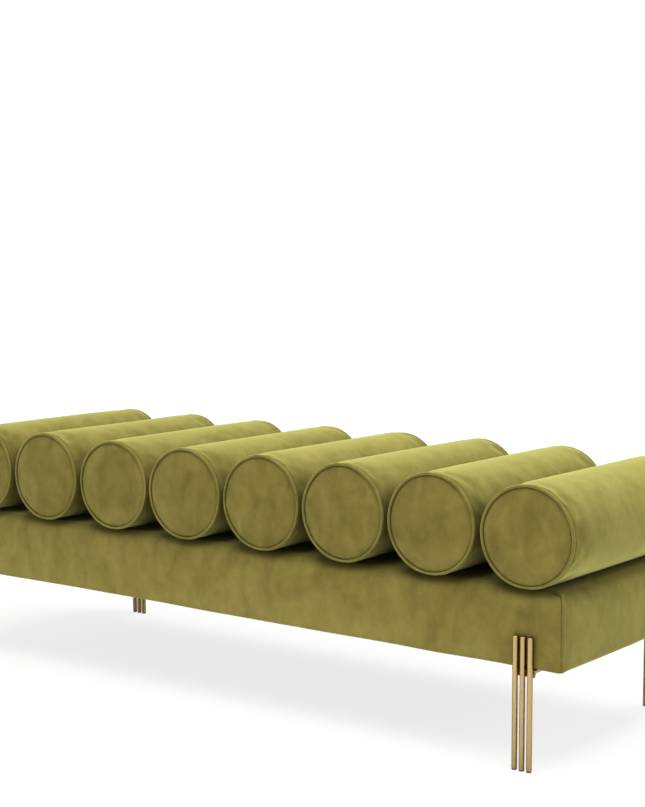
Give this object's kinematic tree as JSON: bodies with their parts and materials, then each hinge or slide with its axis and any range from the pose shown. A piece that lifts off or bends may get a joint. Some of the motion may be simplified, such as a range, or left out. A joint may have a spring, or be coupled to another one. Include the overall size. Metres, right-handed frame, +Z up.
{
  "type": "backless divan",
  "caption": "Backless velvet divan: round bolsters lie side by side across a padded box base on slim brass rod legs.",
  "frame": {"origin": "on the floor, under the middle of the divan", "axes": "+X along the divan's length to the right as seen from the front, -Y towards the front, +Z up"},
  "size_m": [1.5549, 0.506, 0.5043],
  "materials": {
    "velvet": "olive green cotton velvet, short pile",
    "foam": "upholstery foam and wadding",
    "lining": "black non-woven lining",
    "timber": "planed softwood",
    "plywood": "birch plywood",
    "brass": "satin brass",
    "steel": "zinc-plated",
    "glide_plastic": "grey nylon"
  },
  "bodies": {
    "root": {"front_rail": "timber", "rear_rail": "timber", "left_end_rail": "timber", "right_end_rail": "timber", "cross_rails": "timber", "corner_blocks": "timber", "deck_board": "plywood", "base_padding": "foam", "base_cover": "velvet", "dust_cover": "lining", "bolster_1_foam": "foam", "bolster_1_cover": "velvet", "bolster_1_end_panels": "velvet", "bolster_1_welts": "velvet", "bolster_2_foam": "foam", "bolster_2_cover": "velvet", "bolster_2_end_panels": "velvet", "bolster_2_welts": "velvet", "bolster_3_foam": "foam", "bolster_3_cover": "velvet", "bolster_3_end_panels": "velvet", "bolster_3_welts": "velvet", "bolster_4_foam": "foam", "bolster_4_cover": "velvet", "bolster_4_end_panels": "velvet", "bolster_4_welts": "velvet", "bolster_5_foam": "foam", "bolster_5_cover": "velvet", "bolster_5_end_panels": "velvet", "bolster_5_welts": "velvet", "bolster_6_foam": "foam", "bolster_6_cover": "velvet", "bolster_6_end_panels": "velvet", "bolster_6_welts": "velvet", "bolster_7_foam": "foam", "bolster_7_cover": "velvet", "bolster_7_end_panels": "velvet", "bolster_7_welts": "velvet", "bolster_8_foam": "foam", "bolster_8_cover": "velvet", "bolster_8_end_panels": "velvet", "bolster_8_welts": "velvet", "bolster_battens": "timber", "bolster_bolts": "steel", "front_left_leg_rods": "brass", "front_left_leg_glides": "glide_plastic", "front_left_leg_bracket": "brass", "front_right_leg_rods": "brass", "front_right_leg_glides": "glide_plastic", "front_right_leg_bracket": "brass", "rear_left_leg_rods": "brass", "rear_left_leg_glides": "glide_plastic", "rear_left_leg_bracket": "brass", "rear_right_leg_rods": "brass", "rear_right_leg_glides": "glide_plastic", "rear_right_leg_bracket": "brass", "leg_screws": "steel"}
  },
  "joints": []
}
